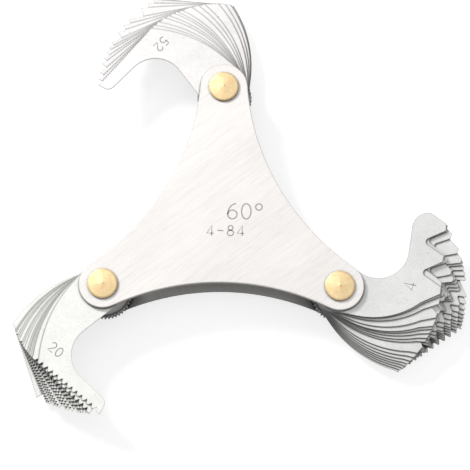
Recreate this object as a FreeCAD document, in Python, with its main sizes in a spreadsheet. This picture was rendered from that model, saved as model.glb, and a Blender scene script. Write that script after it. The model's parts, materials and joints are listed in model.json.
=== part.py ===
"""Screw pitch gauge: 51 toothed leaves in three stacks, hinged between two three-lobed plates.

Frame of the part: the back plate lies on Z = 0 with its outer face down, +Z points out of the
front plate, the origin is midway between the three pivots and the top pivot is on +Y.
Each leaf is drawn in its own frame: pivot at the origin, arm along +X to the elbow, and the
toothed row running from the elbow along +Y.  All sizes are in millimetres.
"""
import FreeCAD, Part
import math
import os
import Sketcher

INCH = 25.4

DIMENSIONS = {
    # Plates: three round lobes joined by hollow sides.
    "pivot_circle": 27.25,
    "lobe_radius": 4.8,
    "side_radius": 50.1,
    "plate_thickness": 1.1,
    "plate_bevel": 0.15,
    "inside_height": 8.8,
    # Brass pivot posts: turned head, plain shank, tenon riveted flush in the back plate.
    "post_radius": 2.0,
    "tenon_radius": 1.25,
    "rivet_radius": 1.75,
    "rivet_depth": 0.45,
    "head_radius": 3.0,
    "head_rim": 0.55,
    "head_shoulder": 2.7,
    "head_height": 1.05,
    "head_point": 0.3,
    # Knurled lock nuts, which press the stacks against the front plate.
    "nut_radius": 5.6,
    "nut_thickness": 1.9,
    "knurl_depth": 0.42,
    # What every leaf has.
    "hinge_fit": 0.05,
    "leaf_thickness": 0.37,
    "leaf_spacing": 0.40,
    "hub_radius": 4.95,
    "foot_length": 4.5,
    # Narrow leaves, 20 to 84 threads to the inch.  A "rate" is a change per millimetre of pitch.
    "narrow_row": 19.64,
    "narrow_row_rate": 0.43,
    "narrow_elbow": 0.3,
    "narrow_first": 16.25,
    "narrow_first_rate": -1.0,
    "narrow_tip": 16.25,
    "narrow_tip_rate": 0,
    "narrow_land": 0.28,
    "narrow_end_angle": -169,
    "narrow_corner": 1.6,
    "narrow_inside": 16.85,
    "narrow_taper": 3.5,
    "narrow_bay": 6.0,
    "narrow_bay_height": 8.9,
    # Wide leaves, 4 to 18 threads to the inch.  The coarser the row, the more it leans.
    "wide_row": 20.0,
    "wide_row_rate": 0,
    "wide_elbow": 0.75,
    "wide_first": 17.05,
    "wide_first_rate": -0.94,
    "wide_tip": 16.65,
    "wide_tip_rate": -0.24,
    "wide_land": 0.18,
    "wide_root": 0.12,
    "wide_lean_rate": 1.1,
    "wide_upright_pitch": 1.3,
    "wide_end_angle": 155,
    "wide_corner": 3.33,
    "wide_corner_height": 15.24,
    "wide_inside": 12.15,
    "wide_taper": -3.0,
    "wide_bay": 6.2,
}

KNURL_TEETH = 46

# A tooth space is cut only where it leaves this part of a pitch as a crest beside the elbow.
SMALLEST_CREST = 0.08

# Each stack: pivot direction, leaf style and, from the front plate to the back, the threads to
# the inch of each leaf with the direction of its arm, in degrees from +X, as it is fanned out.
STACKS = {
    "right": (330, "wide", [
        (4, -11), (4.5, -11.5), (5, -15), (5.5, -22.5), (6, -27), (7, -28), (8, -30),
        (9, -32.5), (10, -34.5), (11, -42), (11.5, -45), (12, -47.5), (13, -49.5), (14, -51),
        (15, -52.5), (16, -54), (18, -55.5)]),
    "left": (210, "narrow", [
        (20, 231), (22, 226.5), (24, 226), (26, 224.5), (27, 223), (28, 222), (30, 220.5),
        (32, 218), (34, 216), (36, 214.5), (38, 211.5), (40, 210), (42, 208.5), (44, 206.5),
        (46, 205.5), (48, 204.5), (50, 199.5)]),
    "top": (90, "narrow", [
        (52, 139.5), (54, 136.5), (56, 133), (58, 128.5), (60, 125.5), (62, 122), (64, 119.5),
        (66, 116.5), (68, 110.5), (70, 106), (72, 102), (74, 94), (76, 90), (78, 86.5),
        (80, 85.5), (82, 84.5), (84, 84)]),
}

ORIGIN = (-1, 1)
START = 1
END = 2
CENTRE = 3


def leaf_key(threads):
    """Name part of a leaf: 4.5 threads to the inch gives 4_5."""
    return str(threads).replace(".", "_")


def make_sheet(doc):
    """Spreadsheet of the driving dimensions, one alias to a row."""
    sheet = doc.addObject("Spreadsheet::Sheet", "Dims")
    rows = dict(DIMENSIONS)
    for _, _, leaves in STACKS.values():
        for threads, direction in leaves:
            rows["threads_" + leaf_key(threads)] = threads
            rows["direction_" + leaf_key(threads)] = direction
    for row, (alias, value) in enumerate(rows.items(), start=1):
        sheet.set("A%d" % row, alias)
        sheet.set("B%d" % row, str(value))
        sheet.setAlias("B%d" % row, alias)
    doc.recompute()
    return sheet


def value_of(sheet, expression):
    """Number that a spreadsheet expression stands for."""
    return float(sheet.evalExpression(expression))


def origin_feature(body, role):
    """Origin plane or axis of a body, found by its role."""
    return next(item for item in body.Origin.OriginFeatures if item.Role == role)


def new_body(doc, label):
    body = doc.addObject("PartDesign::Body", label)
    body.Label = label
    return body


def new_sketch(body, name, role):
    sketch = body.newObject("Sketcher::SketchObject", name)
    sketch.AttachmentSupport = [(origin_feature(body, role), "")]
    sketch.MapMode = "FlatFace"
    return sketch


def bind(sketch, name, expression):
    """Ties a named dimension of a sketch to the spreadsheet."""
    sketch.setExpression("Constraints." + name, expression)


def dimension(sketch, sheet, kind, parts, name, expression):
    """Adds one dimension to a sketch, named and tied to the spreadsheet."""
    index = sketch.addConstraint(Sketcher.Constraint(kind, *parts, value_of(sheet, expression)))
    sketch.renameConstraint(index, name)
    bind(sketch, name, expression)


def place_point(sketch, sheet, point, name, x, y):
    """Holds one point of a sketch at two expressions, or on an axis where one is zero."""
    for kind, axis, suffix, expression in (("DistanceX", -2, "_x", x), ("DistanceY", -1, "_y", y)):
        if expression == "0":
            sketch.addConstraint(Sketcher.Constraint("PointOnObject", *point, axis))
        else:
            dimension(sketch, sheet, kind, ORIGIN + point, name + suffix, expression)


def slope(sketch, sheet, edge, name, expression):
    """Holds a straight edge at an angle in degrees from +X, in the direction it is drawn."""
    value = math.radians(value_of(sheet, expression))
    index = sketch.addConstraint(Sketcher.Constraint("Angle", edge, value))
    sketch.renameConstraint(index, name)
    bind(sketch, name, "(%s) * 1 deg" % expression)


def polygon_sketch(body, sheet, name, role, corners):
    """Closed outline of straight edges, each corner given by two expressions."""
    sketch = new_sketch(body, name, role)
    points = [FreeCAD.Vector(value_of(sheet, x), value_of(sheet, y), 0) for x, y in corners]
    count = len(points)
    for index, point in enumerate(points):
        sketch.addGeometry(Part.LineSegment(point, points[(index + 1) % count]))
    for index in range(count):
        following = (index + 1) % count
        sketch.addConstraint(Sketcher.Constraint("Coincident", index, END, following, START))
    for index, (x, y) in enumerate(corners):
        place_point(sketch, sheet, (index, START), "corner%d" % index, x, y)
    return sketch


def arc(centre, radius, start, end):
    """Arc running anticlockwise between two directions in radians."""
    circle = Part.Circle(FreeCAD.Vector(centre[0], centre[1], 0), FreeCAD.Vector(0, 0, 1), radius)
    return Part.ArcOfCircle(circle, start, end)


def line(start, end):
    return Part.LineSegment(FreeCAD.Vector(*start, 0), FreeCAD.Vector(*end, 0))


def add_pad(body, sketch, thickness):
    pad = body.newObject("PartDesign::Pad", "Pad")
    pad.Profile = sketch
    pad.setExpression("Length", thickness)
    return pad


# ---------------------------------------------------------------- plates

def plate_outline(body, sheet, hole_radius):
    """Three lobes and three hollow sides, tangent to each other, with the pivot holes."""
    reach = value_of(sheet, "Dims.pivot_circle")
    lobe = value_of(sheet, "Dims.lobe_radius")
    side = value_of(sheet, "Dims.side_radius")
    # A side's centre is as far from both lobe centres as the two radii together.
    half_span = reach * math.sin(math.pi / 3)
    side_reach = reach / 2 + math.sqrt((lobe + side) ** 2 - half_span ** 2)
    turn = math.acos(half_span / (lobe + side))
    sketch = new_sketch(body, "Outline", "XY_Plane")
    for index in range(3):
        away = math.radians(90 + 120 * index)
        centre = (reach * math.cos(away), reach * math.sin(away))
        sketch.addGeometry(arc(centre, lobe, away - math.pi / 6 - turn, away + math.pi / 6 + turn))
        away += math.pi / 3
        centre = (side_reach * math.cos(away), side_reach * math.sin(away))
        spread = math.pi / 2 - turn
        sketch.addGeometry(arc(centre, side, away + math.pi - spread, away + math.pi + spread))
    for index in range(3):
        lobe_edge = 2 * index
        side_edge = lobe_edge + 1
        next_lobe = (lobe_edge + 2) % 6
        sketch.addConstraint(Sketcher.Constraint("Tangent", lobe_edge, END, side_edge, END))
        sketch.addConstraint(Sketcher.Constraint("Tangent", side_edge, START, next_lobe, START))
    for index, pivot in enumerate((90, 210, 330)):
        lobe_edge = 2 * index
        dimension(sketch, sheet, "Radius", (lobe_edge,), "lobe%d" % pivot, "Dims.lobe_radius")
        dimension(sketch, sheet, "Radius", (lobe_edge + 1,), "side%d" % pivot, "Dims.side_radius")
        x, y = pivot_expressions(pivot)
        place_point(sketch, sheet, (lobe_edge, CENTRE), "pivot%d" % pivot, x, y)
    for index, pivot in enumerate((90, 210, 330)):
        hole = 6 + index
        centre = sketch.getPoint(2 * index, CENTRE)
        sketch.addGeometry(Part.Circle(centre, FreeCAD.Vector(0, 0, 1), value_of(sheet, hole_radius)))
        sketch.addConstraint(Sketcher.Constraint("Coincident", hole, CENTRE, 2 * index, CENTRE))
        dimension(sketch, sheet, "Radius", (hole,), "hole%d" % pivot, hole_radius)
    return sketch


def pivot_expressions(pivot):
    """X and Y of a pivot, as expressions, from its direction in degrees."""
    x = "0" if pivot == 90 else "Dims.pivot_circle * cos(%d deg)" % pivot
    return x, "Dims.pivot_circle * sin(%d deg)" % pivot


def bevel_outline(body, pad, height, hole_radius):
    """Small bevel round the outer edge of a plate's outer face."""
    doc = body.Document
    doc.recompute()
    names = []
    for number, edge in enumerate(pad.Shape.Edges, start=1):
        flat = abs(edge.BoundBox.ZMin - height) < 1e-6 and abs(edge.BoundBox.ZMax - height) < 1e-6
        if flat and edge.Curve.Radius > hole_radius + 1e-6:
            names.append("Edge%d" % number)
    bevel = body.newObject("PartDesign::Chamfer", "Bevel")
    bevel.Base = (pad, names)
    bevel.setExpression("Size", "Dims.plate_bevel")
    return bevel


def make_front_plate(doc, sheet):
    """Front plate, in its own frame lying on Z = 0, lifted onto the stacks."""
    body = new_body(doc, "front_plate")
    sketch = plate_outline(body, sheet, "Dims.post_radius")
    pad = add_pad(body, sketch, "Dims.plate_thickness")
    thickness = value_of(sheet, "Dims.plate_thickness")
    bevel_outline(body, pad, thickness, value_of(sheet, "Dims.post_radius"))
    body.setExpression(".Placement.Base.z", "Dims.plate_thickness + Dims.inside_height")
    return body


def make_back_plate(doc, sheet):
    """Back plate, its pivot holes flared at the outer face for the riveted tenons."""
    body = new_body(doc, "back_plate")
    sketch = plate_outline(body, sheet, "Dims.tenon_radius")
    pad = add_pad(body, sketch, "Dims.plate_thickness")
    bevel_outline(body, pad, 0, value_of(sheet, "Dims.tenon_radius"))
    doc.recompute()
    flare = body.newObject("PartDesign::SubtractiveCone", "Flare")
    flare.AttachmentSupport = [(origin_feature(body, "XY_Plane"), "")]
    flare.MapMode = "FlatFace"
    flare.setExpression("Radius1", "Dims.rivet_radius")
    flare.setExpression("Radius2", "Dims.tenon_radius")
    flare.setExpression("Height", "Dims.rivet_depth")
    flare.setExpression(".AttachmentOffset.Base.y", "Dims.pivot_circle")
    doc.recompute()
    flares = body.newObject("PartDesign::PolarPattern", "Flares")
    flares.Originals = [flare]
    flares.Axis = (origin_feature(body, "Z_Axis"), [""])
    flares.Angle = 360
    flares.Occurrences = 3
    body.Tip = flares
    return body


# ---------------------------------------------------------------- pivots

def make_post(doc, sheet, name, pivot):
    """Pivot post, turned about its own axis: rivet, tenon, shank and pointed head."""
    body = new_body(doc, name + "_pivot_post")
    plate = "Dims.plate_thickness"
    under_head = "2 * Dims.plate_thickness + Dims.inside_height"
    half_section = [
        ("0", "0"),
        ("Dims.rivet_radius", "0"),
        ("Dims.tenon_radius", "Dims.rivet_depth"),
        ("Dims.tenon_radius", plate),
        ("Dims.post_radius", plate),
        ("Dims.post_radius", under_head),
        ("Dims.head_radius", under_head),
        ("Dims.head_radius", under_head + " + Dims.head_rim"),
        ("Dims.head_shoulder", under_head + " + Dims.head_rim + 0.15"),
        ("Dims.head_point", under_head + " + Dims.head_height"),
        ("0", under_head + " + Dims.head_height + 0.1"),
    ]
    sketch = polygon_sketch(body, sheet, "HalfSection", "XZ_Plane", half_section)
    turned = body.newObject("PartDesign::Revolution", "Turned")
    turned.Profile = sketch
    turned.ReferenceAxis = (sketch, ["V_Axis"])
    turned.Angle = 360
    place_at_pivot(body, pivot)
    return body


def place_at_pivot(body, pivot):
    """Moves a body's own axis onto a pivot of the frame."""
    x, y = pivot_expressions(pivot)
    body.setExpression(".Placement.Base.x", x)
    body.setExpression(".Placement.Base.y", y)


def make_lock_nut(doc, sheet, name, pivot):
    """Knurled ring between the back plate and the last leaf of its stack."""
    body = new_body(doc, name + "_lock_nut")
    bore = "Dims.post_radius + Dims.hinge_fit"
    blank = new_sketch(body, "Ring", "XY_Plane")
    for index, expression in enumerate(("Dims.nut_radius", bore)):
        centre = FreeCAD.Vector(0, 0, 0)
        blank.addGeometry(Part.Circle(centre, FreeCAD.Vector(0, 0, 1), value_of(sheet, expression)))
        blank.addConstraint(Sketcher.Constraint("Coincident", index, CENTRE, *ORIGIN))
        dimension(blank, sheet, "Radius", (index,), ("outside", "bore")[index], expression)
    add_pad(body, blank, "Dims.nut_thickness")
    half_tooth = "sin(%s deg)" % (180 / KNURL_TEETH)
    groove_corners = [
        ("Dims.nut_radius - Dims.knurl_depth", "0"),
        ("Dims.nut_radius", "Dims.nut_radius * " + half_tooth),
        ("Dims.nut_radius", "-Dims.nut_radius * " + half_tooth),
    ]
    groove_sketch = polygon_sketch(body, sheet, "KnurlSpace", "XY_Plane", groove_corners)
    groove = body.newObject("PartDesign::Pocket", "Knurl")
    groove.Profile = groove_sketch
    groove.Type = "ThroughAll"
    groove.Reversed = True
    doc.recompute()
    knurl = body.newObject("PartDesign::PolarPattern", "Knurls")
    knurl.Originals = [groove]
    knurl.Axis = (origin_feature(body, "Z_Axis"), [""])
    knurl.Angle = 360
    knurl.Occurrences = KNURL_TEETH
    body.Tip = knurl
    place_at_pivot(body, pivot)
    body.setExpression(".Placement.Base.z", "Dims.plate_thickness + Dims.hinge_fit")
    return body


# ---------------------------------------------------------------- leaves

class ThreadForm:
    """60 degree teeth of one leaf: expressions for their sizes and places.

    Sizes are given in the frame of the row, in which the line of crests is parallel to +Y.  On a
    narrow leaf that is the leaf's own frame; a wide leaf's row leans in towards its tip.
    """

    def __init__(self, style, threads):
        self.wide = style == "wide"
        self.pitch = "(%s / Dims.threads_%s)" % (INCH, leaf_key(threads))
        self.half_mouth = "(1 - Dims.%s_land) / 2 * %s" % (style, self.pitch)
        self.round = "Dims.wide_root * %s" % self.pitch if self.wide else "0"
        self.depth = "((%s) / tan(30 deg) - %s)" % (self.half_mouth, self.round)
        self.crest = self.varying(style, "row")
        self.root = "(%s - %s)" % (self.crest, self.depth)
        self.first = self.varying(style, "first")
        self.tip = self.varying(style, "tip")
        self.elbow = "Dims.%s_elbow" % style
        self.elbow_root = "(%s - %s * tan(30 deg))" % (self.elbow, self.depth)
        self.lean = "Dims.wide_lean_rate * (%s - Dims.wide_upright_pitch)" % self.pitch

    def varying(self, style, name):
        """A size of the row that changes evenly with the pitch."""
        return "(Dims.{0}_{1} + Dims.{0}_{1}_rate * {2})".format(style, name, self.pitch)

    def on_blank(self, out, along):
        """A point of the row's frame, as X and Y in the leaf's frame."""
        if not self.wide:
            return out, along
        turn = {"out": out, "along": along, "turn": "(%s) * 1 deg" % self.lean}
        return ("{out} * cos({turn}) - {along} * sin({turn})".format(**turn),
                "{out} * sin({turn}) + {along} * cos({turn})".format(**turn))


def space_sketch(body, sheet, form):
    """Outline of the tooth space nearest the tip: rounded at the root, or sharp when fine."""
    upper = "%s + %s" % (form.first, form.half_mouth)
    lower = "%s - %s" % (form.first, form.half_mouth)
    if not form.wide:
        corners = [(form.crest, upper), (form.root, form.first), (form.crest, lower)]
        return polygon_sketch(body, sheet, "ToothSpace", "XY_Plane", corners)
    sketch = new_sketch(body, "ToothSpace", "XY_Plane")
    sketch.AttachmentOffset = FreeCAD.Placement(
        FreeCAD.Vector(0, 0, 0), FreeCAD.Rotation(FreeCAD.Vector(0, 0, 1), 1))
    sketch.setExpression(".AttachmentOffset.Rotation.Angle", "(%s) * 1 deg" % form.lean)
    crest = value_of(sheet, form.crest)
    middle = value_of(sheet, form.first)
    half_mouth = value_of(sheet, form.half_mouth)
    radius = value_of(sheet, form.round)
    centre = (value_of(sheet, form.root) + radius, middle)
    half_root = radius * math.cos(math.radians(30))
    flank_foot = centre[0] - radius / 2
    mouth = [(crest, middle + half_mouth), (crest, middle - half_mouth)]
    sketch.addGeometry([
        line(mouth[0], (flank_foot, middle + half_root)),
        arc(centre, radius, math.radians(120), math.radians(240)),
        line((flank_foot, middle - half_root), mouth[1]),
        line(mouth[1], mouth[0]),
    ])
    upper_flank, root, lower_flank, opening = range(4)
    for joint in [("Tangent", upper_flank, END, root, START),
                  ("Tangent", root, END, lower_flank, START),
                  ("Coincident", lower_flank, END, opening, START),
                  ("Coincident", opening, END, upper_flank, START)]:
        sketch.addConstraint(Sketcher.Constraint(*joint))
    dimension(sketch, sheet, "Radius", (root,), "round", form.round)
    place_point(sketch, sheet, (root, CENTRE), "root", "%s + %s" % (form.root, form.round),
                form.first)
    place_point(sketch, sheet, (upper_flank, START), "upper", form.crest, upper)
    place_point(sketch, sheet, (lower_flank, END), "lower", form.crest, lower)
    return sketch


def leaf_blank(body, sheet, style, form):
    """Outline of a leaf before its tooth spaces are cut: a hook about its hub.

    The order is hub, foot, back, flank of the first tooth, row of crests, end, corner, inner
    edge, bay and, on a narrow leaf, the straight web that leads back to the hub.
    """
    hub = value_of(sheet, "Dims.hub_radius")
    foot = value_of(sheet, "Dims.foot_length")
    inside = value_of(sheet, "Dims.%s_inside" % style)
    corner = value_of(sheet, "Dims.%s_corner" % style)
    bay = value_of(sheet, "Dims.%s_bay" % style)
    row_points = [form.on_blank(form.root, form.elbow_root), form.on_blank(form.crest, form.elbow),
                  form.on_blank(form.crest, form.tip)]
    elbow, first_crest, tip = [(value_of(sheet, x), value_of(sheet, y)) for x, y in row_points]

    # The back starts level at the foot's end and bends up to the elbow.
    back = ((elbow[0] - foot) ** 2 + (elbow[1] + hub) ** 2) / (2 * (elbow[1] + hub))
    back_centre = (foot, back - hub)
    back_end = math.atan2(elbow[1] - back_centre[1], elbow[0] - back_centre[0])

    # The bay touches the inner edge and the hub, or the web between them.
    bay_x = inside - bay
    if style == "narrow":
        bay_y = value_of(sheet, "Dims.narrow_bay_height")
    else:
        bay_y = math.sqrt((hub + bay) ** 2 - bay_x ** 2)
    slant = math.acos(min(1, (hub + bay) / math.hypot(bay_x, bay_y)))
    hub_start = math.atan2(bay_y, bay_x) + slant
    outward = (math.cos(hub_start), math.sin(hub_start))
    taper = math.radians(value_of(sheet, "Dims.%s_taper" % style))
    up = (math.sin(taper), math.cos(taper))
    across = (math.cos(taper), -math.sin(taper))
    bay_end = (bay_x + bay * across[0], bay_y + bay * across[1])

    # The corner touches the inner edge; its arc runs round to the end of the leaf.
    end_angle = math.radians(value_of(sheet, "Dims.%s_end_angle" % style))
    end_way = (math.cos(end_angle), math.sin(end_angle))
    inward = (-end_way[1], end_way[0])
    beside = (bay_end[0] + corner * across[0], bay_end[1] + corner * across[1])
    if style == "narrow":
        gap = (beside[0] - tip[0]) * inward[0] + (beside[1] - tip[1]) * inward[1]
        climb = (corner - gap) / (up[0] * inward[0] + up[1] * inward[1])
    else:
        climb = (value_of(sheet, "Dims.wide_corner_height") - beside[1]) / up[1]
    corner_centre = (beside[0] + climb * up[0], beside[1] + climb * up[1])
    inner_end = (corner_centre[0] - corner * across[0], corner_centre[1] - corner * across[1])
    ahead = ((corner_centre[0] - tip[0]) * end_way[0] + (corner_centre[1] - tip[1]) * end_way[1])
    aside = ((corner_centre[0] - tip[0]) * inward[0] + (corner_centre[1] - tip[1]) * inward[1])
    reach = ahead + math.sqrt(max(0, corner ** 2 - aside ** 2))
    end_point = (tip[0] + reach * end_way[0], tip[1] + reach * end_way[1])
    corner_start = math.atan2(end_point[1] - corner_centre[1], end_point[0] - corner_centre[0])

    edges = [
        arc((0, 0), hub, hub_start, 1.5 * math.pi),
        line((0, -hub), (foot, -hub)),
        arc(back_centre, back, -math.pi / 2, back_end),
        line(elbow, first_crest),
        line(first_crest, tip),
        line(tip, end_point),
        arc(corner_centre, corner, corner_start, math.pi - taper),
        line(inner_end, bay_end),
        arc((bay_x, bay_y), bay, hub_start - math.pi, -taper),
    ]
    if style == "narrow":
        web_start = (bay_x - bay * outward[0], bay_y - bay * outward[1])
        edges.append(line(web_start, (hub * outward[0], hub * outward[1])))
    hub_arc, foot_line, back_arc, flank, crests, end_line, corner_arc, inner, bay_arc = range(9)
    web = 9

    sketch = new_sketch(body, "Blank", "XY_Plane")
    sketch.addGeometry(edges)
    joints = [
        ("Tangent", hub_arc, END, foot_line, START),
        ("Tangent", foot_line, END, back_arc, START),
        ("Coincident", back_arc, END, flank, START),
        ("Coincident", flank, END, crests, START),
        ("Coincident", crests, END, end_line, START),
        ("Tangent", corner_arc, END, inner, START),
        ("Tangent", inner, END, bay_arc, END),
        ("Coincident", hub_arc, CENTRE, *ORIGIN),
        ("Horizontal", foot_line),
    ]
    if style == "narrow":
        joints.append(("Tangent", end_line, END, corner_arc, START))
        joints.append(("Tangent", bay_arc, START, web, START))
        joints.append(("Tangent", web, END, hub_arc, START))
    else:
        joints.append(("Coincident", end_line, END, corner_arc, START))
        joints.append(("Tangent", bay_arc, START, hub_arc, START))
    for joint in joints:
        sketch.addConstraint(Sketcher.Constraint(*joint))

    dimension(sketch, sheet, "Radius", (hub_arc,), "hub", "Dims.hub_radius")
    dimension(sketch, sheet, "DistanceX", ORIGIN + (foot_line, END), "foot", "Dims.foot_length")
    place_point(sketch, sheet, (flank, START), "elbow", *row_points[0])
    place_point(sketch, sheet, (crests, START), "crest", *row_points[1])
    place_point(sketch, sheet, (crests, END), "tip", *row_points[2])
    slope(sketch, sheet, end_line, "end", "Dims.%s_end_angle" % style)
    slope(sketch, sheet, inner, "taper", "-90 - Dims.%s_taper" % style)
    dimension(sketch, sheet, "Radius", (corner_arc,), "corner", "Dims.%s_corner" % style)
    dimension(sketch, sheet, "Radius", (bay_arc,), "bay", "Dims.%s_bay" % style)
    dimension(sketch, sheet, "DistanceX", ORIGIN + (bay_arc, CENTRE), "bay_middle",
              "Dims.{0}_inside - Dims.{0}_bay".format(style))
    if style == "narrow":
        dimension(sketch, sheet, "DistanceY", ORIGIN + (bay_arc, CENTRE), "bay_height",
                  "Dims.narrow_bay_height")
    else:
        dimension(sketch, sheet, "DistanceY", ORIGIN + (corner_arc, CENTRE), "corner_height",
                  "Dims.wide_corner_height")

    bore = len(edges)
    bore_radius = "Dims.post_radius + Dims.hinge_fit"
    centre = FreeCAD.Vector(0, 0, 0)
    sketch.addGeometry(Part.Circle(centre, FreeCAD.Vector(0, 0, 1), value_of(sheet, bore_radius)))
    sketch.addConstraint(Sketcher.Constraint("Coincident", bore, CENTRE, *ORIGIN))
    dimension(sketch, sheet, "Radius", (bore,), "bore", bore_radius)
    return sketch


def make_leaf(doc, sheet, pivot, style, threads, layer):
    """One leaf: blank with its bore, one tooth space cut and repeated down to the elbow."""
    key = leaf_key(threads)
    body = new_body(doc, "leaf_%s_tpi" % key)
    form = ThreadForm(style, threads)
    add_pad(body, leaf_blank(body, sheet, style, form), "Dims.leaf_thickness")
    outline = space_sketch(body, sheet, form)
    space = body.newObject("PartDesign::Pocket", "Space")
    space.Profile = outline
    space.Type = "ThroughAll"
    space.Reversed = True
    doc.recompute()
    pitch = value_of(sheet, form.pitch)
    below_first = value_of(sheet, "%s - %s - %s" % (form.first, form.half_mouth, form.elbow))
    spaces = 1 + math.floor(below_first / pitch - SMALLEST_CREST)
    teeth = body.newObject("PartDesign::LinearPattern", "Teeth")
    teeth.Originals = [space]
    teeth.Direction = (outline, ["V_Axis"])
    teeth.Reversed = True
    teeth.setExpression("Length", "%d * %s" % (spaces - 1, form.pitch))
    teeth.Occurrences = spaces
    body.Tip = teeth
    place_at_pivot(body, pivot)
    body.Placement.Rotation = FreeCAD.Rotation(FreeCAD.Vector(0, 0, 1), 1)
    body.setExpression(".Placement.Rotation.Angle", "Dims.direction_%s * 1 deg" % key)
    top = "Dims.plate_thickness + Dims.inside_height"
    below = "%d * Dims.leaf_spacing - Dims.leaf_thickness - 0.015" % -layer
    body.setExpression(".Placement.Base.z", "%s + %s" % (top, below))
    return body


# ---------------------------------------------------------------- whole gauge

def make_gauge(doc):
    sheet = make_sheet(doc)
    bodies = [make_back_plate(doc, sheet), make_front_plate(doc, sheet)]
    for name, (pivot, style, leaves) in STACKS.items():
        bodies.append(make_post(doc, sheet, name, pivot))
        bodies.append(make_lock_nut(doc, sheet, name, pivot))
        for layer, (threads, _) in enumerate(leaves):
            bodies.append(make_leaf(doc, sheet, pivot, style, threads, layer))
    doc.recompute()
    return bodies


def check(doc, bodies):
    """Stops before anything is written if a feature failed or a shape is unsound."""
    for item in doc.Objects:
        if "Invalid" in item.State or "Error" in item.State:
            raise RuntimeError("%s failed: %s" % (item.Label, item.State))
    for body in bodies:
        shape = body.Shape
        if shape.isNull() or not shape.isValid() or len(shape.Solids) != 1:
            raise RuntimeError("%s is not one sound solid" % body.Label)


def main():
    doc = FreeCAD.newDocument("PitchGauge")
    bodies = make_gauge(doc)
    check(doc, bodies)
    os.makedirs("parts", exist_ok=True)
    for body in bodies:
        body.Shape.exportStep(os.path.join("parts", body.Label + ".step"))
    print("%d sub-parts written" % len(bodies))


main()
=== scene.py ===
"""Looks of the thread pitch gauge: brushed plates, ground leaves, turned brass, stamped numbers."""
import bpy
import json
import math
from mathutils import Matrix, Vector


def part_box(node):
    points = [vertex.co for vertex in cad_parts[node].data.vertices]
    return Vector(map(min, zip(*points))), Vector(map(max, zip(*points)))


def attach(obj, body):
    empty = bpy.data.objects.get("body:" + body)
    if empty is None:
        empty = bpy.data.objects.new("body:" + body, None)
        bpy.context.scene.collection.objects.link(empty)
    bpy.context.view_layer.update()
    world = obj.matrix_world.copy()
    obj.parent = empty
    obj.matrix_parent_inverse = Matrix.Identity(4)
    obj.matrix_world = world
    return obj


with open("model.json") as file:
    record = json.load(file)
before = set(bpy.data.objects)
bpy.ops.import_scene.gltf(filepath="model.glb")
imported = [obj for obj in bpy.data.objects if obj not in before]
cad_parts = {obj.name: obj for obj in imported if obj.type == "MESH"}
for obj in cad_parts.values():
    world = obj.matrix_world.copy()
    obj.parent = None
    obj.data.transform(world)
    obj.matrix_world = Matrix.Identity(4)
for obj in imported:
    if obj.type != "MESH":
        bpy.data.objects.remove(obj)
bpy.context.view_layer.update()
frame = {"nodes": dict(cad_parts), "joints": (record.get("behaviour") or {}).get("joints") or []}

MM = 0.001
NODES = frame["nodes"]
STACKS = ("top", "left", "right")
JOINTS = {joint["child"]: joint for joint in frame["joints"]}

# Where the arms of each stack point when they are folded between the plates, in degrees from +X.
FOLDED = {"top": 254, "left": 374, "right": 134}

# Steel of the plates and of each stack's leaves, which age differently; the back plate's darker
# grey is painted shade, for the shadow it lies in beneath the front plate.
FRONT_STEEL = (0.90, 0.87, 0.845)
BACK_STEEL_IN_SHADE = (0.50, 0.495, 0.485)
TOP_LEAF_STEEL = (0.90, 0.88, 0.87)
LEFT_LEAF_STEEL = (0.91, 0.92, 0.88)
RIGHT_LEAF_STEEL = (0.84, 0.845, 0.825)
BRUSHED_FRONT = math.radians(-38)
BRUSHED_BACK = math.radians(52)
RINGS_PER_MM = 6.6845

# Figures are drawn in a box one unit high; sizes on the part are in millimetres.
FIGURE_WIDTH = 0.6
FIGURE_ADVANCE = 0.88
NARROW_ADVANCES = {".": 0.35, "1": 0.72}
MARK_LIFT = 0.006
STAMP_LINE = 0.2
WIDE_STAMP = (2.4, Vector((13.6, 3.0)))
NARROW_STAMP = (1.9, Vector((15.9, 1.3)))

# Camera: nearly straight above the front plate, a little towards the near side.
CAMERA_TILT = math.radians(-11.996)
CAMERA_SWING = math.radians(-0.482)
CAMERA_ROLL = math.radians(-0.683)
CAMERA_PLACE = Vector((6.889, -86.483, 401.920)) * MM
FOCAL_LENGTH = 153.191
SENSOR = 36.0

# Floor, in metres, and how brightly it shows itself to the camera.
FLOOR_SIZE = 6.0
FLOOR_DROP = 0.0002
FLOOR_COLOUR = (0.45, 0.45, 0.45, 1)
FLOOR_GLOW = 0.72
SKY_LIGHT = 0.30


# ---------------------------------------------------------------- material nodes

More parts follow.
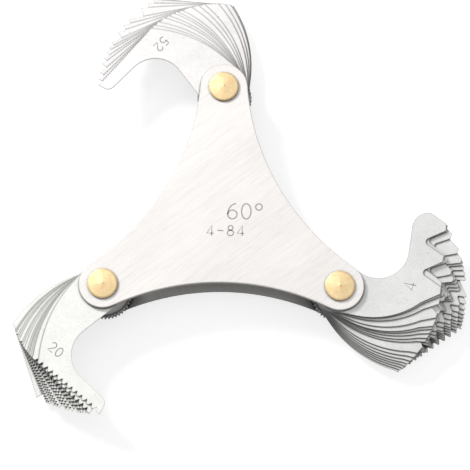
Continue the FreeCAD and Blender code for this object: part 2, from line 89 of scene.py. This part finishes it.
class Maker:
    """A new node material, with short calls for adding nodes and joining them."""

    def __init__(self, name):
        self.material = bpy.data.materials.new(name)
        self.material.use_nodes = True
        self.tree = self.material.node_tree
        self.shader = self.tree.nodes["Principled BSDF"]
        self.output = self.tree.nodes["Material Output"]

    def node(self, kind, **values):
        made = self.tree.nodes.new(kind)
        for name, value in values.items():
            setattr(made, name, value)
        return made

    def join(self, source, target):
        self.tree.links.new(source, target)

    def set(self, name, value):
        self.shader.inputs[name].default_value = value

    def maths(self, operation, first, second=0.0):
        made = self.node("ShaderNodeMath", operation=operation)
        for socket, value in zip(made.inputs, (first, second)):
            if isinstance(value, (int, float)):
                socket.default_value = value
            else:
                self.join(value, socket)
        return made.outputs[0]

    def place(self, scale=(1, 1, 1), turn=0.0, centre=(0, 0, 0)):
        """Coordinates in millimetres about a centre, turned about Z and then scaled."""
        source = self.node("ShaderNodeTexCoord").outputs["Object"]
        shift = self.node("ShaderNodeVectorMath", operation="SUBTRACT")
        shift.inputs[1].default_value = centre
        turned = self.node("ShaderNodeVectorRotate", rotation_type="Z_AXIS")
        turned.inputs["Angle"].default_value = turn
        sized = self.node("ShaderNodeVectorMath", operation="MULTIPLY")
        sized.inputs[1].default_value = [value / MM for value in scale]
        self.join(source, shift.inputs[0])
        self.join(shift.outputs[0], turned.inputs["Vector"])
        self.join(turned.outputs[0], sized.inputs[0])
        return sized.outputs[0]

    def noise(self, where, detail, roughness):
        """Noise whose patches are about one unit of the coordinates across."""
        made = self.node("ShaderNodeTexNoise")
        made.inputs["Scale"].default_value = 1.0
        made.inputs["Detail"].default_value = detail
        made.inputs["Roughness"].default_value = roughness
        self.join(where, made.inputs["Vector"])
        return made.outputs["Fac"]

    def ramp(self, factor, stops):
        """Colour ramp; each stop is a position and a grey level or a colour."""
        made = self.node("ShaderNodeValToRGB")
        points = made.color_ramp.elements
        while len(points) < len(stops):
            points.new(0.5)
        for point, (position, colour) in zip(points, stops):
            point.position = position
            if isinstance(colour, (int, float)):
                colour = (colour, colour, colour)
            point.color = (*colour, 1)
        self.join(factor, made.inputs["Fac"])
        return made.outputs["Color"]

    def mix(self, factor, first, second, blend="MIX"):
        made = self.node("ShaderNodeMix", data_type="RGBA", blend_type=blend)
        for socket, value in zip((made.inputs[0], made.inputs[6], made.inputs[7]),
                                 (factor, first, second)):
            if isinstance(value, (int, float, tuple)):
                socket.default_value = value
            else:
                self.join(value, socket)
        return made.outputs[2]

    def paint(self, colour, *layers):
        """Base colour: a colour multiplied by layers of light and dark."""
        for layer in layers:
            colour = self.mix(1.0, colour, layer, "MULTIPLY")
        self.join(colour, self.shader.inputs["Base Color"])

    def gloss(self, pattern, dull, bright):
        """Roughness that follows a pattern between two values."""
        level = self.ramp(pattern, [(0.3, dull), (0.7, bright)])
        self.join(level, self.shader.inputs["Roughness"])

    def bump(self, height, distance, strength):
        made = self.node("ShaderNodeBump")
        made.inputs["Distance"].default_value = distance * MM
        made.inputs["Strength"].default_value = strength
        self.join(height, made.inputs["Height"])
        self.join(made.outputs[0], self.shader.inputs["Normal"])

    def openness(self, reach, inside=False):
        """1 in the open, less where something stands within reach; inside looks into the sheet."""
        made = self.node("ShaderNodeAmbientOcclusion", samples=12, inside=inside)
        made.inputs["Distance"].default_value = reach * MM
        return made.outputs["AO"]

    def crevice_shade(self, reach, darkest, shut=0.40, clear=0.92):
        """Painted shade, darker where another piece stands close by, as in the steps of a fanned
        stack.
        """
        return self.ramp(self.openness(reach), [(shut, darkest), (clear, 1.0)])

    def rim(self, reach, darkest):
        """Painted shade just inside the outline of a sheet, for the dark that its rounded-over edge
        reflects.
        """
        return self.ramp(self.openness(reach, inside=True), [(0.5, darkest), (0.95, 1.0)])

    def edge(self, darkest, upright, level):
        """Painted shade on the upright edges of a sheet, darker than on its level faces."""
        normal = self.node("ShaderNodeTexCoord").outputs["Normal"]
        parts = self.node("ShaderNodeSeparateXYZ")
        self.join(normal, parts.inputs[0])
        facing_up = self.maths("ABSOLUTE", parts.outputs["Z"])
        return self.ramp(facing_up, [(upright, darkest), (level, 1.0)])


def brushed_plate(name, colour, turn, hollow_reach, hollow_shade_level):
    """Sheet steel brushed in one direction: streaks in its colour, gloss and relief, with painted
    shade in its hollows and on its upright edges.
    """
    maker = Maker(name)
    long_streaks = maker.noise(maker.place((0.10, 2.6, 2.6), turn), 6.0, 0.7)
    fine_streaks = maker.noise(maker.place((0.35, 9.0, 9.0), turn), 3.0, 0.7)
    clouds = maker.noise(maker.place((0.05, 0.09, 0.09), turn), 3.0, 0.5)
    streaks = maker.mix(0.5, long_streaks, fine_streaks)
    maker.paint((*colour, 1),
                maker.ramp(streaks, [(0.30, 0.80), (0.50, 0.96), (0.66, 1.0)]),
                maker.ramp(clouds, [(0.35, 0.94), (0.65, 1.0)]),
                maker.crevice_shade(hollow_reach, hollow_shade_level),
                maker.edge(0.22, 0.3, 0.65))
    maker.gloss(streaks, 0.54, 0.40)
    maker.set("Metallic", 0.6)
    maker.bump(streaks, 0.012, 0.5)
    return maker.material


def ground_leaf(name, colour, edge_shade_level, rim_shade_level):
    """Satin spring steel with a faint grain and dark specks; painted shade darkens its outline, its
    edges and the steps below other leaves.
    """
    maker = Maker(name)
    grain = maker.noise(maker.place((2.0, 5.0, 5.0), 0.6), 5.0, 0.75)
    clouds = maker.noise(maker.place((0.18, 0.18, 0.18)), 3.0, 0.5)
    specks = maker.noise(maker.place((2.2, 2.2, 2.2)), 2.0, 0.4)
    maker.paint((*colour, 1),
                maker.ramp(grain, [(0.30, 0.88), (0.55, 1.0)]),
                maker.ramp(clouds, [(0.35, 0.92), (0.65, 1.0)]),
                maker.ramp(specks, [(0.21, 0.45), (0.28, 1.0)]),
                maker.crevice_shade(0.5, 0.02),
                maker.rim(0.25, rim_shade_level),
                maker.edge(edge_shade_level, 0.3, 0.9))
    maker.gloss(grain, 0.60, 0.45)
    maker.set("Metallic", 0.45)
    maker.bump(grain, 0.006, 0.4)
    return maker.material


def turned_brass(name, centre):
    """Brass with the rings that turning leaves about the pivot's axis; the side of its head is
    darkened to near-black brown with painted shade.
    """
    maker = Maker(name)
    radius = maker.node("ShaderNodeVectorMath", operation="LENGTH")
    maker.join(maker.place((1, 1, 0), centre=centre), radius.inputs[0])
    turns = maker.maths("MULTIPLY", radius.outputs["Value"], RINGS_PER_MM * math.tau)
    rings = maker.maths("SINE", turns)
    wear = maker.noise(maker.place((1.4, 1.4, 1.4)), 4.0, 0.6)
    colour = maker.ramp(wear, [(0.3, (0.90, 0.66, 0.36)), (0.65, (0.97, 0.77, 0.45))])
    # Painted shade: the upright side of the head nearly black brown.
    maker.paint(colour, maker.edge((0.10, 0.06, 0.03), 0.25, 0.70))
    maker.gloss(wear, 0.62, 0.50)
    maker.set("Metallic", 0.7)
    maker.bump(rings, 0.004, 0.35)
    return maker.material


def knurled_steel(name):
    """Steel with patchy wear, nearly black in the knurl's grooves and on its sides with painted
    shade.
    """
    maker = Maker(name)
    wear = maker.noise(maker.place((1.2, 1.2, 1.2)), 5.0, 0.6)
    colour = maker.ramp(wear, [(0.3, 0.42), (0.7, 0.62)])
    maker.paint(colour, maker.crevice_shade(0.5, 0.01, 0.45, 0.9), maker.edge(0.10, 0.3, 0.9))
    maker.gloss(wear, 0.55, 0.35)
    maker.set("Metallic", 0.6)
    maker.bump(wear, 0.01, 0.4)
    return maker.material


def engraved(name, level):
    """Shadowed bottom of an engraved or stamped line."""
    maker = Maker(name)
    grain = maker.noise(maker.place((6.0, 6.0, 6.0)), 4.0, 0.6)
    maker.paint(maker.ramp(grain, [(0.3, level * 0.8), (0.7, level * 1.15)]))
    maker.set("Roughness", 0.7)
    maker.set("Metallic", 0.3)
    return maker.material


def dress(node, material):
    """Gives a CAD node one material."""
    slots = NODES[node].data.materials
    slots.clear()
    slots.append(material)


# ---------------------------------------------------------------- numbers

def bow(x, y, wide, high, start, end, steps=14):
    """Points along part of an ellipse, between two directions in degrees."""
    turns = [math.radians(start + (end - start) * step / steps) for step in range(steps + 1)]
    return [(x + wide * math.cos(turn), y + high * math.sin(turn)) for turn in turns]


SIX = [bow(0.3, 0.29, 0.3, 0.29, 0, 360), bow(0.56, 0.29, 0.56, 0.71, 180, 95)]
GLYPHS = {
    "0": [bow(0.3, 0.5, 0.3, 0.5, 0, 360, 24)],
    "1": [[(0.12, 0.78), (0.32, 1.0), (0.32, 0.0)]],
    "2": [bow(0.3, 0.72, 0.28, 0.28, 165, -30) + [(0.02, 0.0), (0.62, 0.0)]],
    "3": [bow(0.28, 0.76, 0.24, 0.24, 150, -90) + bow(0.28, 0.26, 0.3, 0.26, 90, -150)],
    "4": [[(0.45, 0.0), (0.45, 1.0), (0.0, 0.24), (0.62, 0.24)]],
    "5": [[(0.56, 1.0), (0.12, 1.0), (0.08, 0.58)] + bow(0.28, 0.32, 0.31, 0.32, 130, -145)],
    "6": SIX,
    "7": [[(0.0, 1.0), (0.6, 1.0), (0.2, 0.0)]],
    "8": [bow(0.3, 0.77, 0.23, 0.23, 0, 360), bow(0.3, 0.27, 0.3, 0.27, 0, 360)],
    "9": [[(FIGURE_WIDTH - x, 1 - y) for x, y in stroke] for stroke in SIX],
    "-": [[(0.02, 0.5), (0.58, 0.5)]],
    ".": [[(0.1, 0.0), (0.1, 0.07)]],
    "°": [bow(0.22, 0.79, 0.21, 0.21, 0, 360)],
}


def advance(letter):
    """Distance from one figure's left side to the next one's."""
    return NARROW_ADVANCES.get(letter, FIGURE_ADVANCE)


def text_width(text):
    return sum(advance(letter) for letter in text[:-1]) + FIGURE_WIDTH


def ribbon(points, width):
    """Left and right edges of a line drawn with a constant width."""
    edges = []
    last = len(points) - 1
    for index, point in enumerate(points):
        before = Vector(points[max(index - 1, 0)])
        after = Vector(points[min(index + 1, last)])
        along = after - before
        side = Vector((-along.y, along.x)).normalized() * width / 2
        edges.append((Vector(point) + side, Vector(point) - side))
    return edges


def lettering(name, text, height, line_width, place, material, body, spread=1.0):
    """Single-stroke figures as thin ribbons; place maps text millimetres to the part's frame."""
    vertices = []
    faces = []
    pen = 0.0
    for letter in text:
        for stroke in GLYPHS[letter]:
            points = [((pen + x) * height, y * height) for x, y in stroke]
            first = len(vertices)
            for pair in ribbon(points, line_width):
                vertices.extend(place @ Vector((*point, 0)) for point in pair)
            for index in range(len(points) - 1):
                corner = first + 2 * index
                faces.append((corner, corner + 1, corner + 3, corner + 2))
        pen += advance(letter) * spread
    mesh = bpy.data.meshes.new(name)
    mesh.from_pydata([vertex * MM for vertex in vertices], [], faces)
    mesh.materials.append(material)
    piece = bpy.data.objects.new(name, mesh)
    bpy.context.scene.collection.objects.link(piece)
    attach(piece, body)


# ---------------------------------------------------------------- the object

def centre_of(stack):
    """Middle of a stack's pivot post."""
    low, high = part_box(stack + "_pivot_post")
    return (low + high) / 2


def stack_of(node):
    """The stack whose pivot a leaf hangs on."""
    pivot = Vector(JOINTS[node]["pos_m"])
    return min(STACKS, key=lambda stack: (centre_of(stack) - pivot).xy.length)


def arm_turn(node):
    """A leaf's arm direction at rest, in radians: its range ends where it is folded."""
    return math.radians(FOLDED[stack_of(node)] - JOINTS[node]["range_deg"][1])


def dress_frame():
    dress("front_plate", brushed_plate("front_plate_brushed", FRONT_STEEL, BRUSHED_FRONT,
                                       0.6, 0.55))
    # The back plate's colour and its 7 mm crevice reach paint the shadow it lies in beneath the
    # front plate.
    dress("back_plate", brushed_plate("back_plate_brushed", BACK_STEEL_IN_SHADE, BRUSHED_BACK,
                                      7.0, 0.12))
    nut = knurled_steel("lock_nut_knurl")
    for stack in STACKS:
        dress(stack + "_pivot_post", turned_brass(stack + "_brass", centre_of(stack)))
        dress(stack + "_lock_nut", nut)


def stamp_leaf(node, wide, material):
    """A leaf's threads to the inch, read along its arm's width."""
    number = node[len("leaf_"):-len("_tpi")].replace("_", ".")
    height, middle = WIDE_STAMP if wide else NARROW_STAMP
    pivot = Vector(JOINTS[node]["pos_m"]) / MM
    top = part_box(node)[1].z / MM + MARK_LIFT
    foot = (middle.x + height / 2, middle.y - text_width(number) * height / 2, 0)
    place = (Matrix.Translation((pivot.x, pivot.y, top))
             @ Matrix.Rotation(arm_turn(node), 4, "Z")
             @ Matrix.Translation(foot)
             @ Matrix.Rotation(math.pi / 2, 4, "Z"))
    lettering("number_" + node[len("leaf_"):], number, height, STAMP_LINE, place, material, node)


def dress_leaves():
    # The last two numbers are the painted shade on each stack's edges and just inside its outline.
    steels = {
        "top": ground_leaf("top_leaf_ground", TOP_LEAF_STEEL, 0.40, 0.72),
        "left": ground_leaf("left_leaf_ground", LEFT_LEAF_STEEL, 0.40, 0.72),
        "right": ground_leaf("right_leaf_ground", RIGHT_LEAF_STEEL, 0.22, 0.66),
    }
    stamp = engraved("leaf_number_stamp", 0.34)
    for node in NODES:
        if node.startswith("leaf_"):
            stack = stack_of(node)
            dress(node, steels[stack])
            stamp_leaf(node, stack == "right", stamp)


def engrave_plate():
    """Thread angle and range of pitches on the front plate."""
    # The engraved lines are flat ribbons coloured with painted shade for the bottoms of their
    # grooves.
    groove_shade = engraved("plate_engraving", 0.42)
    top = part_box("front_plate")[1].z / MM + MARK_LIFT
    angle_place = Matrix.Translation((1.1, -0.17, top))
    lettering("engraved_angle", "60°", 3.15, 0.27, angle_place, groove_shade, "frame")
    range_place = Matrix.Translation((-3.0, -3.62, top))
    lettering("engraved_range", "4-84", 2.1, 0.25, range_place, groove_shade, "frame", 1.1)


# ---------------------------------------------------------------- camera, floor and light

def white_floor():
    """Floor that the back plate lies on: white to the camera, with the object's soft shadow."""
    bpy.ops.mesh.primitive_plane_add(size=FLOOR_SIZE, location=(0, 0, -FLOOR_DROP))
    floor = bpy.context.object
    floor.name = "floor"
    maker = Maker("floor_white")
    maker.set("Base Color", FLOOR_COLOUR)
    maker.set("Roughness", 0.9)
    rays = maker.node("ShaderNodeLightPath")
    seen = maker.maths("MAXIMUM", rays.outputs["Is Camera Ray"], rays.outputs["Is Glossy Ray"])
    glow = maker.node("ShaderNodeEmission")
    maker.join(maker.maths("MULTIPLY", seen, FLOOR_GLOW), glow.inputs["Strength"])
    both = maker.node("ShaderNodeAddShader")
    maker.join(maker.shader.outputs[0], both.inputs[0])
    maker.join(glow.outputs[0], both.inputs[1])
    maker.join(both.outputs[0], maker.output.inputs["Surface"])
    floor.data.materials.append(maker.material)


def set_camera():
    data = bpy.data.cameras.new("camera")
    data.sensor_width = SENSOR
    data.lens = FOCAL_LENGTH
    data.clip_start = 0.01
    data.clip_end = 10
    camera = bpy.data.objects.new("camera", data)
    bpy.context.scene.collection.objects.link(camera)
    turn = (Matrix.Rotation(CAMERA_TILT, 3, "X") @ Matrix.Rotation(CAMERA_SWING, 3, "Y")
            @ Matrix.Rotation(CAMERA_ROLL, 3, "Z")).transposed()
    camera.matrix_world = Matrix.Translation(CAMERA_PLACE) @ turn.to_4x4()
    bpy.context.scene.camera = camera


def area_light(name, place, size, power):
    """Square lamp that points at the middle of the part."""
    data = bpy.data.lights.new(name, "AREA")
    data.size = size
    data.energy = power
    lamp = bpy.data.objects.new(name, data)
    lamp.visible_camera = False
    bpy.context.scene.collection.objects.link(lamp)
    lamp.location = place
    lamp.rotation_mode = "QUATERNION"
    lamp.rotation_quaternion = (-Vector(place)).to_track_quat("-Z", "Y")


def light_scene():
    world = bpy.data.worlds.new("studio")
    world.use_nodes = True
    background = world.node_tree.nodes["Background"]
    background.inputs["Color"].default_value = (1, 1, 1, 1)
    background.inputs["Strength"].default_value = SKY_LIGHT
    bpy.context.scene.world = world
    area_light("softbox", (0.05, 0.10, 0.90), 0.90, 2.4)
    area_light("key", (-0.42, 0.42, 0.55), 0.18, 4.5)


dress_frame()
dress_leaves()
engrave_plate()
white_floor()
set_camera()
light_scene()
bpy.context.scene.view_settings.view_transform = "Standard"
